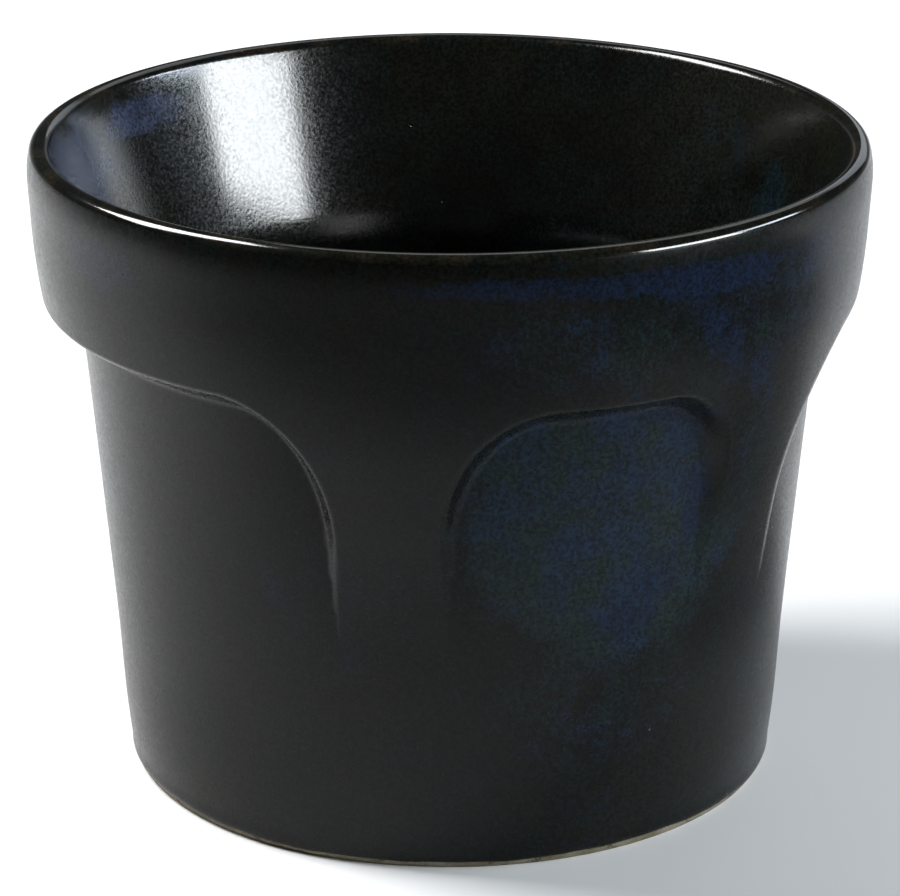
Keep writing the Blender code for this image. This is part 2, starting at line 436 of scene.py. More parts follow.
@dataclass(frozen=True)
class Inside:
    """Rows of the inside of the pot, from over the lip down to the floor."""

    form: PotForm
    mouth_steps: int = 8
    waist_steps: int = 10
    wall_steps: int = 20
    corner_steps: int = 14
    floor_steps: int = 12
    floor_end: float = 0.002
    hollow_share: float = 0.7

    def lip(self, steps: int) -> Section:
        """Rows over the lip, from the outside of the collar to the mouth's wall.

        Args:
            steps: Number of steps along each of the lip's two rounds.

        Returns:
            The rows.
        """
        form = self.form
        first = form.shoulder_lean
        turn = form.lip_turn
        last = math.pi - form.mouth_lean
        outer = arc_section(form.outer_lip_centre, form.lip_outer_round, first, turn, steps, 1)
        inner = arc_section(form.inner_lip_centre, form.lip_inner_round, turn, last, steps, 1)
        return Section(outer.points[:-1], outer.outward[:-1]).joined(inner)

    def mouth_point(self, height: float) -> np.ndarray:
        """Point of the mouth's wall at a height.

        Args:
            height: Height above the table.

        Returns:
            Its radius and height.
        """
        high = self.lip(1).points[-1]
        share = (height - self.form.waist[1]) / (high[1] - self.form.waist[1])
        return self.form.waist + (high - self.form.waist) * share

    def joint(self) -> Section:
        """The one row where the outer coat meets the liner.

        Returns:
            The row.
        """
        lean = self.form.mouth_lean
        point = self.mouth_point(self.form.height - self.form.joint_depth)
        return Section(point[None, :], np.array([[-math.cos(lean), math.sin(lean)]]))

    def below_joint(self) -> Section:
        """Rows from just under the joint down the wall and across the floor to near the axis.

        Returns:
            The rows.
        """
        form = self.form
        floor_edge = np.array((form.cone(form.floor_height) - form.wall, form.floor_height))
        wall_run = form.waist - floor_edge
        wall_way = wall_run / np.linalg.norm(wall_run)
        wall_lean = math.atan2(wall_run[0], wall_run[1])
        mouth_lean = form.mouth_lean
        bend = form.waist_bend_radius
        mouth_way = np.array((math.sin(mouth_lean), math.cos(mouth_lean)))
        mouth_out = np.array((mouth_way[1], -mouth_way[0]))
        waist_start = form.waist + mouth_way * (bend * math.tan((mouth_lean - wall_lean) / 2))
        waist_centre = waist_start + mouth_out * bend
        waist = arc_section(
            waist_centre, bend, math.pi - mouth_lean, math.pi - wall_lean, self.waist_steps, 1
        )
        corner_round = form.floor_corner_radius
        corner_reach = corner_round * math.tan((math.pi / 2 - wall_lean) / 2)
        corner_start = floor_edge + wall_way * corner_reach
        corner_centre = floor_edge + np.array((-corner_reach, corner_round))
        corner = arc_section(
            corner_centre, corner_round, -wall_lean, -math.pi / 2, self.corner_steps, -1
        )
        floor_end = np.array((self.floor_end, form.floor_height))
        mouth = straight_section(self.joint().points[0], waist_start, self.mouth_steps)
        wall = straight_section(waist.points[-1], corner_start, self.wall_steps)
        floor = straight_section(corner.points[-1], floor_end, self.floor_steps)
        rows = mouth.joined(waist).joined(wall).joined(corner).joined(floor)
        facing = np.sign(np.sum(rows.outward * self._to_hollow(rows.points), axis=1))
        return Section(rows.points, rows.outward * facing[:, None])

    def _to_hollow(self, points: np.ndarray) -> np.ndarray:
        """Way from each row to a point in the middle of the hollow."""
        return np.array((0.0, self.form.height * self.hollow_share)) - points


def ring_angles(form: PotForm) -> np.ndarray:
    """Angles of the upright seams of the outer coat, close together across each rib.

    Args:
        form: The pot.

    Returns:
        Angles from 0 up to a full turn.
    """
    fine_step = math.radians(0.50)
    coarse_step = math.radians(2.0)
    reach = math.radians(26.0)
    easing = math.radians(6.0)
    angles = [0.0]
    while angles[-1] < math.tau:
        apart = min(abs(angles[-1] - rib) for rib in form.rib_angles)
        share = np.clip((apart - reach) / easing, 0.0, 1.0)
        angles.append(angles[-1] + fine_step + (coarse_step - fine_step) * float(share))
    spread = np.array(angles[:-1])
    return spread * (math.tau / angles[-1])


def even_angles(seams: int = 360) -> np.ndarray:
    """Angles of evenly spread seams, for the pieces without ribs."""
    return np.arange(seams) * (math.tau / seams)


def turned_rings(points: np.ndarray, angles: np.ndarray, form: PotForm) -> np.ndarray:
    """Rings of points round the axis, one ring for each row of radius and height.

    Args:
        points: Rows of radius and height, alike all round.
        angles: Angles of the seams.
        form: The pot, which gives the unevenness of the wall.

    Returns:
        Points by row and seam.
    """
    radius = points[:, :1] + 0.0 * angles[None, :]
    height = points[:, 1:] + 0.0 * angles[None, :]
    spread = np.clip(radius / form.foot_radius, 0.0, 1.0)
    return placed(radius + spread * form.wave(angles[None, :], height), angles[None, :], height)


def placed(radius: np.ndarray, angle: np.ndarray, height: np.ndarray) -> np.ndarray:
    """Points in the frame of the pot from radius, angle and height."""
    angle = angle + 0.0 * radius
    return np.stack((radius * np.sin(angle), -radius * np.cos(angle), height), axis=-1)


def skin_object(name: str, rings: np.ndarray, poles: tuple[float, ...] = ()) -> bpy.types.Object:
    """Closed mesh over rings of points.

    Args:
        name: Name of the piece.
        rings: Points by row and seam.
        poles: Heights on the axis that close the first and the last ring. Without them the last ring
            is joined to the first.

    Returns:
        The new object, shaded smooth and linked to the scene.
    """
    rows, seams, _ = rings.shape
    index = np.arange(rows * seams).reshape(rows, seams)
    if not poles:
        index = np.concatenate((index, index[:1]))
    beside = np.roll(index, -1, axis=1)
    quads = np.stack((index[:-1], beside[:-1], beside[1:], index[1:]), axis=-1).reshape(-1, 4)
    points = rings.reshape(-1, 3)
    faces = quads.tolist()
    for end, pole_height in zip((0, rows - 1), poles):
        pole = len(points)
        points = np.concatenate((points, [[0.0, 0.0, pole_height]]))
        fan = [[first, second, pole] for first, second in zip(index[end], beside[end])]
        faces += [face[::-1] for face in fan] if end == 0 else fan
    mesh = bpy.data.meshes.new(name)
    mesh.from_pydata(points.tolist(), [], faces)
    shape = bmesh.new()
    shape.from_mesh(mesh)
    bmesh.ops.recalc_face_normals(shape, faces=shape.faces)
    bmesh.ops.triangulate(shape, faces=shape.faces, quad_method="SHORT_EDGE")
    shape.to_mesh(mesh)
    shape.free()
    mesh.shade_smooth()
    mesh.set_sharp_from_angle(angle=SHARP_EDGE)
    piece = bpy.data.objects.new(name, mesh)
    bpy.context.scene.collection.objects.link(piece)
    return piece


# Finishes


class Coordinates(Enum):
    """What the places in a material are counted in."""

    OBJECT = "Object"
    SURROUND = "Generated"


@dataclass(frozen=True)
class Clouding:
    """Cloudy pattern: the size of its lumps in metres, its detail and its roughness."""

    size: float
    detail: float = 2.0
    roughness: float = 0.5


class NodeDesk:
    """Wires up the nodes of one material or of the surround."""

    def __init__(self, owner: Any, coordinates: Coordinates = Coordinates.OBJECT) -> None:
        """Start the owner's nodes afresh.

        Args:
            owner: The material or the surround.
            coordinates: What places are counted in.
        """
        owner.use_nodes = True
        self.owner = owner
        self.tree = owner.node_tree
        self.tree.nodes.clear()
        self.place = self.add("ShaderNodeTexCoord").outputs[coordinates.value]

    def add(self, kind: str, inputs: dict[Any, Any] | None = None, **settings: Any) -> bpy.types.Node:
        """Add a node.

        Args:
            kind: Blender's name of the node's type.
            inputs: Values or sockets for the node's inputs, by name or number.
            settings: Values of the node's own settings.

        Returns:
            The node.
        """
        node = self.tree.nodes.new(kind)
        for setting, value in settings.items():
            setattr(node, setting, value)
        for key, value in (inputs or {}).items():
            if isinstance(value, Socket):
                self.tree.links.new(value, node.inputs[key])
            else:
                node.inputs[key].default_value = value
        return node

    def sum_of(self, operation: str, first: Any, second: Any = 0.0, clamp: bool = False) -> Socket:
        """Result of one piece of arithmetic on two values."""
        node = self.add("ShaderNodeMath", {0: first, 1: second}, operation=operation, use_clamp=clamp)
        return node.outputs[0]

    def times(self, first: Any, second: Any) -> Socket:
        """Product of two values."""
        return self.sum_of("MULTIPLY", first, second)

    def plus(self, first: Any, second: Any) -> Socket:
        """Sum of two values."""
        return self.sum_of("ADD", first, second)

    def minus(self, first: Any, second: Any) -> Socket:
        """Difference of two values."""
        return self.sum_of("SUBTRACT", first, second)

    def noise(self, clouding: Clouding) -> Socket:
        """Cloudy values about one half.

        Args:
            clouding: The pattern.

        Returns:
            Socket with the values.
        """
        inputs = {
            "Vector": self.place,
            "Scale": 1.0 / clouding.size,
            "Detail": clouding.detail,
            "Roughness": clouding.roughness,
        }
        return self.add("ShaderNodeTexNoise", inputs).outputs[0]

    def swing(self, clouds: Any, share: float) -> Socket:
        """Cloudy values moved to lie about zero and taken by a share."""
        return self.times(self.minus(clouds, NOISE_MIDDLE), share)

    def step(self, value: Any, low: float, high: float, top: float = 1.0) -> Socket:
        """Smooth step from 0 at the low value up to a top at the high value."""
        inputs = {"Value": value, "From Min": low, "From Max": high, "To Min": 0.0, "To Max": top}
        return self.add("ShaderNodeMapRange", inputs, interpolation_type="SMOOTHSTEP").outputs[0]

    def mix(self, share: Any, first: Any, second: Any) -> Socket:
        """Colour between two colours."""
        node = self.add("ShaderNodeMix", {0: share, 6: first, 7: second}, data_type="RGBA")
        return node.outputs[2]

    def height(self) -> Socket:
        """Height of each point above the table."""
        return self.add("ShaderNodeSeparateXYZ", {0: self.place}).outputs[2]

    def along(self, way: Vector) -> Socket:
        """How far each point lies along a direction."""
        node = self.add("ShaderNodeVectorMath", {0: self.place, 1: way}, operation="DOT_PRODUCT")
        return node.outputs["Value"]

    def bump(self, height: Any, depth: float, normal: Any = None) -> Socket:
        """Surface direction with fine relief.

        Args:
            height: Socket with the height of the relief.
            depth: Metres that a height of 1 stands for.
            normal: Surface direction to start from, if there is relief already.

        Returns:
            Socket with the surface direction.
        """
        inputs = {"Height": height, "Distance": depth, "Strength": 1.0}
        if normal is not None:
            inputs["Normal"] = normal
        return self.add("ShaderNodeBump", inputs).outputs[0]

    def surface(self, inputs: dict[str, Any]) -> bpy.types.Material:
        """Finish the material with one shader.

        Args:
            inputs: Values or sockets for the shader's inputs.

        Returns:
            The material.
        """
        shader = self.add("ShaderNodeBsdfPrincipled", inputs)
        self.add("ShaderNodeOutputMaterial", {"Surface": shader.outputs[0]})
        return self.owner


@dataclass(frozen=True)
class Bloom:
    """Soft patch where the glaze fired bluer, centred on a point of the pot's wall."""

    angle_degrees: float
    height: float
    radius: float
    half_width: float
    half_height: float
    strength: float = 1.0
    tilt_degrees: float = 0.0
    half_depth: float = 0.012
    core: float = 0.3

    def share(self, desk: NodeDesk) -> Socket:
        """Nodes for the strength of this patch.

        Args:
            desk: Where the material is wired up.

        Returns:
            Socket with 0 outside the patch, rising to its strength in the middle.
        """
        angle = math.radians(self.angle_degrees)
        inputs = {
            "Vector": desk.place,
            "Location": (self.radius * math.sin(angle), -self.radius * math.cos(angle), self.height),
            "Rotation": (0.0, math.radians(self.tilt_degrees), angle),
            "Scale": (self.half_width, self.half_depth, self.half_height),
        }
        local = desk.add("ShaderNodeMapping", inputs, vector_type="TEXTURE").outputs[0]
        away = desk.add("ShaderNodeVectorMath", {0: local}, operation="LENGTH").outputs["Value"]
        return desk.step(away, 1.0, self.core, self.strength)


PANEL_BLOOMS = (
    Bloom(6.0, 0.0420, 0.042, 0.0240, 0.0190, 0.88, core=0.70),
    Bloom(8.0, 0.0300, 0.041, 0.0150, 0.0110, 0.80),
    Bloom(-97.0, 0.0420, 0.042, 0.0240, 0.0150, 0.45),
    Bloom(100.0, 0.0400, 0.042, 0.0260, 0.0160, 0.70),
    Bloom(180.0, 0.0410, 0.042, 0.0200, 0.0190, 0.80, core=0.6),
)

OUTER_BLOOMS = (
    Bloom(4.0, 0.0200, 0.040, 0.0220, 0.0130, 0.36),
    Bloom(28.0, 0.0640, 0.047, 0.0200, 0.0090, 0.42),
    Bloom(27.0, 0.0480, 0.044, 0.0050, 0.0150, 0.50),
    Bloom(-4.0, 0.0630, 0.047, 0.0220, 0.0075, 0.46),
    Bloom(-75.0, 0.0675, 0.048, 0.0160, 0.0050, 0.50),
    Bloom(-40.0, 0.0300, 0.041, 0.0160, 0.0140, 0.30),
)

COBALT_BLOOMS = (
    Bloom(-14.0, 0.0703, 0.048, 0.0170, 0.0016, 0.66, core=0.4),
    Bloom(2.0, 0.0698, 0.048, 0.0140, 0.0022, 0.78, core=0.4),
    Bloom(16.0, 0.0690, 0.048, 0.0140, 0.0030, 0.84, core=0.4),
    Bloom(33.0, 0.0680, 0.048, 0.0150, 0.0042, 0.50, core=0.4),
    Bloom(16.5, 0.0622, 0.046, 0.0130, 0.0044, 0.72, 58.0, core=0.1),
    Bloom(25.0, 0.0560, 0.046, 0.0070, 0.0040, 0.60, 60.0, core=0.1),
    Bloom(19.0, 0.0410, 0.042, 0.0024, 0.0085, 1.0, core=0.1),
    Bloom(14.0, 0.0530, 0.043, 0.0100, 0.0016, 0.60),
    Bloom(8.0, 0.0290, 0.041, 0.0070, 0.0040, 0.60),
    Bloom(13.0, 0.0330, 0.041, 0.0060, 0.0045, 0.50),
    Bloom(122.0, 0.0450, 0.042, 0.0060, 0.0100, 0.70),
    Bloom(128.0, 0.0690, 0.048, 0.0240, 0.0032, 0.62),
    Bloom(205.0, 0.0640, 0.047, 0.0160, 0.0040, 0.56, -40.0),
    Bloom(250.0, 0.0690, 0.048, 0.0280, 0.0028, 0.56),
)

LINER_BLOOMS = (
    Bloom(93.0, 0.0615, 0.043, 0.0050, 0.0070, 0.7),
    Bloom(110.0, 0.0660, 0.044, 0.0130, 0.0060, 0.35),
    Bloom(20.0, 0.0400, 0.038, 0.0200, 0.0120, 0.6),
)

# Pale blue patches inside the mouth at the left. The one at -116 degrees is partly the glaze's own
# blue and partly a painted reflection of lamp light bounced inside the mouth. The one at -144 degrees
# is the glaze's own blue.
LINER_BLUE_AND_PAINTED_REFLECTION_BLOOMS = (
    Bloom(-116.0, 0.0670, 0.044, 0.0240, 0.0100, 0.9, half_depth=0.024, core=0.1),
    Bloom(-144.0, 0.0695, 0.045, 0.0140, 0.0036, 0.80, core=0.3),
)


@dataclass(frozen=True)
class GlazeFinish:
    """Dark reduction glaze that mottles from olive black to slate and cobalt blue, with painted glints
    of pale grey.
    """

    name: str
    form: PotForm
    charcoal: Colour
    olive: Colour
    teal: Colour
    slate: Colour
    steel: Colour
    cobalt: Colour
    roughness: float
    roughness_swing: float
    frost_swing: float
    specular: float
    peel_size: float
    peel_depth: float
    blooms: tuple[Bloom, ...] = ()
    panel_blooms: tuple[Bloom, ...] = ()
    cobalt_blooms: tuple[Bloom, ...] = ()
    break_brown: Colour = (0.030, 0.020, 0.012, 1.0)
    pit_black: Colour = (0.002, 0.002, 0.002, 1.0)
    # Painted glint: pale grey dots stand in for tiny reflections on the rims of glaze bubbles.
    painted_glint_grey: Colour = (0.10, 0.105, 0.10, 1.0)
    ior: float = 1.5
    mottle: float = 1.5
    drift_share: float = 0.8
    cloud_share: float = 1.1
    cover_range: Range = (0.15, 0.95)
    recess_range: Range = (0.0016, 0.0004)
    patch: Clouding = Clouding(0.011, 3.0)
    cloud: Clouding = Clouding(0.0025, 4.0, 0.6)
    speck: Clouding = Clouding(0.00036, 2.0, 0.6)
    speck_range: Range = (0.40, 0.60)
    tone: Clouding = Clouding(0.0187, 4.0, 0.6)
    tone_range: Range = (0.38, 0.62)
    blot: Clouding = Clouding(0.0060, 4.0, 0.6)
    blot_range: Range = (0.40, 0.64)
    grain: Clouding = Clouding(0.000432, 2.0, 0.6)
    grain_range: Range = (0.36, 0.64)
    grain_floor: float = 0.5
    haze: Clouding = Clouding(0.0025, 4.0, 0.65)
    thin: Clouding = Clouding(0.005, 3.0)
    thin_top: float = 0.2
    thin_range: Range = (0.45, 0.62)
    thin_share: float = 0.3
    pinhole_spacing: float = 0.006
    pinhole_radius: float = 0.00016
    pinhole_share: float = 0.85
    pinhole_depth: float = 0.0002
    painted_glint_spacing: float = 0.0047
    painted_glint_radius: float = 0.00012
    dot_rarity: float = 0.72
    dot_edge: Range = (1.3, 0.6)

    def cover(self, desk: NodeDesk, blooms: tuple[Bloom, ...]) -> Socket:
        """Nodes for how much of one blue the glaze shows.

        Args:
            desk: Where the material is wired up.
            blooms: The patches of that blue.

        Returns:
            Socket from 0, none, to 1, all blue.
        """
        bloom: Any = 0.0
        for patch in blooms:
            bloom = desk.sum_of("MAXIMUM", bloom, patch.share(desk))
        drift = desk.swing(desk.noise(self.patch), self.drift_share)
        cloud = desk.swing(desk.noise(self.cloud), self.cloud_share)
        speck = desk.swing(desk.noise(self.speck), self.mottle)
        uneven = desk.plus(desk.plus(drift, cloud), speck)
        return desk.step(desk.plus(bloom, uneven), *self.cover_range)

    def recessed(self, desk: NodeDesk) -> Socket:
        """Nodes that tell the faces of the panels from what stands out from them.

        Args:
            desk: Where the material is wired up.

        Returns:
            Socket with 1 on the faces of the panels and 0 elsewhere.
        """
        form = self.form
        slope = (form.panel_top_radius - form.foot_radius) / form.panel_top_height
        inputs = {0: desk.place, 1: (1.0, 1.0, 0.0)}
        level = desk.add("ShaderNodeVectorMath", inputs, operation="MULTIPLY")
        radius = desk.add("ShaderNodeVectorMath", {0: level.outputs[0]}, operation="LENGTH")
        upright = desk.minus(radius.outputs["Value"], desk.times(desk.height(), slope))
        return desk.step(desk.minus(upright, form.foot_radius), *self.recess_range)

    def specks(self, desk: NodeDesk) -> Socket:
        """Nodes for the fine mottling that breaks up the teal of the glaze."""
        return desk.step(desk.noise(self.speck), *self.speck_range)

    def dots(self, desk: NodeDesk, spacing: float, radius: float) -> Socket:
        """Nodes that mark a few pin-sized dots with 1.

        Args:
            desk: Where the material is wired up.
            spacing: Size of the cells that may each hold one dot.
            radius: Radius of a dot.

        Returns:
            Socket with 1 in a dot and 0 beside it.
        """
        cells = desk.add("ShaderNodeTexVoronoi", {"Vector": desk.place, "Scale": 1.0 / spacing})
        outer, inner = (share * radius / spacing for share in self.dot_edge)
        dot = desk.step(cells.outputs["Distance"], outer, inner)
        chance = desk.add("ShaderNodeSeparateColor", {0: cells.outputs["Color"]}).outputs[0]
        return desk.times(dot, desk.sum_of("GREATER_THAN", chance, self.dot_rarity))

    def blued(self, desk: NodeDesk) -> Socket:
        """Nodes for the dark ground of the glaze and the blues over it.

        Args:
            desk: Where the material is wired up.

        Returns:
            Socket with the colour.
        """
        tone = desk.step(desk.noise(self.tone), *self.tone_range)
        blots = desk.step(desk.noise(self.blot), *self.blot_range)
        ground = desk.mix(tone, self.charcoal, self.olive)
        ground = desk.mix(desk.times(blots, self.specks(desk)), ground, self.teal)
        pooled = desk.times(self.cover(desk, self.panel_blooms), self.recessed(desk))
        blue = desk.sum_of("MAXIMUM", self.cover(desk, self.blooms), pooled)
        glaze = desk.mix(blue, ground, desk.mix(blots, self.slate, self.steel))
        return desk.mix(self.cover(desk, self.cobalt_blooms), glaze, self.cobalt)

    def thinned(self, desk: NodeDesk) -> Socket:
        """Nodes for where the glaze breaks thin and brown on the top of the lip.

        Args:
            desk: Where the material is wired up.

        Returns:
            Socket with the share of brown.
        """
        top = self.form.height
        lip_round = self.form.lip_inner_round
        high = desk.step(desk.height(), top - lip_round, top - self.thin_top * lip_round)
        thin = desk.noise(self.thin)
        return desk.times(high, desk.step(thin, *self.thin_range, self.thin_share))

    def material(self) -> bpy.types.Material:
        """Make the material.

        Returns:
            The material, ready for a mesh.
        """
        desk = NodeDesk(bpy.data.materials.new(self.name))
        glaze = desk.mix(self.thinned(desk), self.blued(desk), self.break_brown)
        pits = self.dots(desk, self.pinhole_spacing, self.pinhole_radius)
        glaze = desk.mix(desk.times(pits, self.pinhole_share), glaze, self.pit_black)
        # Painted glints: pale grey dots standing in for tiny reflections.
        painted_glints = self.dots(desk, self.painted_glint_spacing, self.painted_glint_radius)
        glaze = desk.mix(painted_glints, glaze, self.painted_glint_grey)
        grain = desk.step(desk.noise(self.grain), *self.grain_range)
        value = desk.plus(grain, self.grain_floor)
        grained = desk.add("ShaderNodeHueSaturation", {"Color": glaze, "Value": value})
        haze = desk.swing(desk.noise(self.haze), self.roughness_swing)
        peel = desk.noise(Clouding(self.peel_size))
        frost = desk.swing(peel, self.frost_swing)
        relief = desk.bump(peel, self.peel_depth)
        return desk.surface(
            {
                "Base Color": grained.outputs[0],
                "Roughness": desk.plus(desk.plus(haze, self.roughness), frost),
                "Normal": desk.bump(desk.times(pits, -1.0), self.pinhole_depth, relief),
                "IOR": self.ior,
                "Specular IOR Level": self.specular,
            }
        )


@dataclass(frozen=True)
class ClayFinish:
    """Bare buff stoneware with iron specks, ground flat on the foot."""

    name: str = "bare_stoneware"
    buff: Colour = (0.14, 0.12, 0.075, 1.0)
    sand: Colour = (0.22, 0.20, 0.145, 1.0)
    iron: Colour = (0.045, 0.028, 0.015, 1.0)
    patch: Clouding = Clouding(0.004, 4.0, 0.6)
    patch_range: Range = (0.35, 0.65)
    speck: Clouding = Clouding(0.0018, 3.0, 0.6)
    speck_range: Range = (0.60, 0.68)
    speck_share: float = 0.8
    grain: Clouding = Clouding(0.0006, 4.0, 0.7)
    grain_depth: float = 0.00012
    roughness: float = 0.85
    roughness_swing: float = 0.2
    specular: float = 0.3

    def material(self) -> bpy.types.Material:
        """Make the material.

        Returns:
            The material, ready for a mesh.
        """
        desk = NodeDesk(bpy.data.materials.new(self.name))
        tone = desk.step(desk.noise(self.patch), *self.patch_range)
        ground = desk.mix(tone, self.buff, self.sand)
        specks = desk.step(desk.noise(self.speck), *self.speck_range, self.speck_share)
        grain = desk.noise(self.grain)
        swing = desk.swing(grain, self.roughness_swing)
        return desk.surface(
            {
                "Base Color": desk.mix(specks, ground, self.iron),
                "Roughness": desk.plus(swing, self.roughness),
                "Normal": desk.bump(grain, self.grain_depth),
                "Specular IOR Level": self.specular,
            }
        )


# Pieces of the pot


class Slot(Enum):
    """Material slots of the part's record."""

    CLAY = "bare_clay"
    OUTER = "outer_glaze"
    INNER = "inner_glaze"
    BASE = "base_glaze"


class CoatZone(Enum):
    """Parts of the outer coat that take different glazes, in the order of its materials."""

    OUTSIDE = 0
    LIP = 1
    INSIDE = 2


def hand_over(piece: bpy.types.Object, node: str) -> None:
    """Fix a piece to the pot in place of a node and report it.

    Args:
        piece: The finished piece.
        node: Name of the node that it stands for.
    """
    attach(piece, "root")
    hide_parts(node)
    log.info("%s: %d faces, stands for %s", piece.name, len(piece.data.polygons), node)


@dataclass
class OuterCoat:
    """Glaze on the outside, from an uneven line above the foot up and over the lip."""

    form: PotForm
    angles: np.ndarray
    glaze: GlazeFinish
    lip_glaze: GlazeFinish
    inner_glaze: GlazeFinish
    thickness: float = 0.0003
    line_height: float = 0.00075
    line_swing: float = 0.00018
    bead: float = 0.00009
    bead_width: float = 0.0006
    edge_round: float = 0.0003
    edge_tuck: float = 0.9
    line_rows_in_mm: tuple[float, ...] = (0.0, 0.1, 0.2, 0.35, 0.6, 1.0, 1.5, 2.1)
    heel_start: float = 0.004
    heel_step: float = 0.0020
    rib_start: float = 0.0245
    rib_step: float = 0.0010
    arch_start: float = 0.0380
    arch_step: float = 0.00032
    arch_end: float = 0.003
    collar_start: float = 0.0035
    collar_rows: int = 11
    lip_gap: float = 0.0003
    lip_steps: int = 9
    lip_end: float = 0.75
    back_share: int = 3
    slope_reach: float = 0.00002
    plain_margin: float = 0.0035

    def glaze_line(self) -> np.ndarray:
        """Height of the lower edge of the glaze at each seam."""
        return self.line_height + self.line_swing * rippled(GLAZE_LINE_RIPPLES, self.angles)

    def wall_heights(self) -> np.ndarray:
        """Heights of the wall's rings, from the glaze line up to the lip.

        Returns:
            Heights by row and seam.
        """
        collar = self.form.collar_edge_height
        lip = self.form.shoulder_top - self.lip_gap
        heel = np.arange(self.heel_start, self.rib_start, self.heel_step)
        ribs = np.arange(self.rib_start, self.arch_start, self.rib_step)
        arches = np.arange(self.arch_start, collar + self.arch_end, self.arch_step)
        high = np.linspace(collar + self.collar_start, lip, self.collar_rows)
        level = np.concatenate((heel, ribs, arches, high))[:, None] + 0.0 * self.angles
        bottom = self.glaze_line() + np.array(self.line_rows_in_mm)[:, None] * MILLIMETRE
        return np.concatenate((bottom, level))

    def wall_rings(self, heights: np.ndarray, depth: float = 0.0) -> np.ndarray:
        """Rings of the wall.

        Args:
            heights: Heights by row and seam.
            depth: How far the rings are set into the wall.

        Returns:
            Points by row and seam.
        """
        form = self.form
        angle = self.angles[None, :]
        up = heights - self.glaze_line()[None, :]
        tuck = np.clip(1 - up / self.edge_round, 0.0, 1.0)
        edge = self.bead * np.exp(-(((up - self.bead_width) / self.bead_width) ** 2))
        edge -= self.thickness * self.edge_tuck * (1 - np.sqrt(np.maximum(1 - tuck**2, 0.0)))
        radius = form.outside(angle, heights) + edge - depth
        return placed(radius, angle, heights)

    def build(self) -> bpy.types.Object:
        """Make the mesh of the coat.

        Returns:
            The coat with its glazes.
        """
        inside = Inside(self.form)
        over = inside.lip(self.lip_steps).joined(inside.joint())
        heights = self.wall_heights()
        wall = self.wall_rings(heights)
        lip = turned_rings(over.points, self.angles, self.form)
        under = turned_rings(over.points - over.outward * self.thickness, self.angles, self.form)
        back = np.concatenate((self.wall_rings(heights[:: self.back_share], self.thickness), under))
        coat = skin_object("outer_glaze_coat", np.concatenate((wall, lip, back[::-1])))
        self.smooth(coat, heights)
        self.dress(coat)
        return coat

    def smooth(self, coat: bpy.types.Object, heights: np.ndarray) -> None:
        """Shade the wall by the slope of its formula, so that no facet shows along the arches.

        Args:
            coat: The mesh of the coat, whose first points are those of the wall.
            heights: Heights of the wall's points by row and seam.
        """
        angle = self.angles[None, :] + 0.0 * heights
        turn = self.slope_reach / self.form.foot_radius
        rise = self.slope_reach
        ends = [
            placed(self.form.outside(angle + a, heights + h), angle + a, heights + h)
            for a, h in ((turn, 0.0), (-turn, 0.0), (0.0, rise), (0.0, -rise))
        ]
        outward = np.cross(ends[0] - ends[1], ends[2] - ends[3])
        outward /= np.linalg.norm(outward, axis=-1, keepdims=True)
        top = self.form.shoulder_top - self.plain_margin
        exact = (heights > self.plain_margin) & (heights < top)
        outward = np.where(exact[..., None], outward, 0.0).reshape(-1, 3)
        normals = np.zeros((len(coat.data.vertices), 3))
        normals[: len(outward)] = outward
        corners = np.empty(len(coat.data.loops), dtype=np.int32)
        coat.data.loops.foreach_get("vertex_index", corners)
        coat.data.normals_split_custom_set(normals[corners].tolist())

    def dress(self, coat: bpy.types.Object) -> None:
        """Put the satin glaze on the outside, the crisp one on the lip and the liner's inside it.

        Args:
            coat: The mesh of the coat.
        """
        mesh = coat.data
        for finish in (self.glaze, self.lip_glaze, self.inner_glaze):
            mesh.materials.append(finish.material())
        middles = np.empty(3 * len(mesh.polygons))
        mesh.polygons.foreach_get("center", middles)
        middles = middles.reshape(-1, 3)
        height = middles[:, 2]
        radius = np.hypot(middles[:, 0], middles[:, 1])
        inner = self.form.inner_lip_centre
        joint = self.form.height - self.form.joint_depth - self.thickness
        lip_end = inner[1] + self.form.lip_inner_round * self.lip_end
        past_lip = (radius < inner[0]) & (height > joint) & (height < lip_end)
        on_lip = height > self.form.shoulder_top
        zone = np.where(on_lip, CoatZone.LIP.value, CoatZone.OUTSIDE.value)
        zone = np.where(past_lip, CoatZone.INSIDE.value, zone)
        mesh.polygons.foreach_set("material_index", zone.astype(np.int32))


@dataclass
class Liner:
    """Glossy glaze on the inside, from the joint under the lip down over the floor."""

    form: PotForm
    angles: np.ndarray
    glaze: GlazeFinish
    thickness: float = 0.0003

    def build(self) -> bpy.types.Object:
        """Make the mesh of the liner.

        Returns:
            The liner with its glaze.
        """
        inside = Inside(self.form)
        rows = inside.joint().joined(inside.below_joint())
        face = turned_rings(rows.points, self.angles, self.form)
        back = turned_rings(rows.points - rows.outward * self.thickness, self.angles, self.form)
        floor = self.form.floor_height
        rings = np.concatenate((face[::-1], back))
        liner = skin_object("inner_glaze_coat", rings, (floor, floor - self.thickness))
        liner.data.materials.append(self.glaze.material())
        return liner


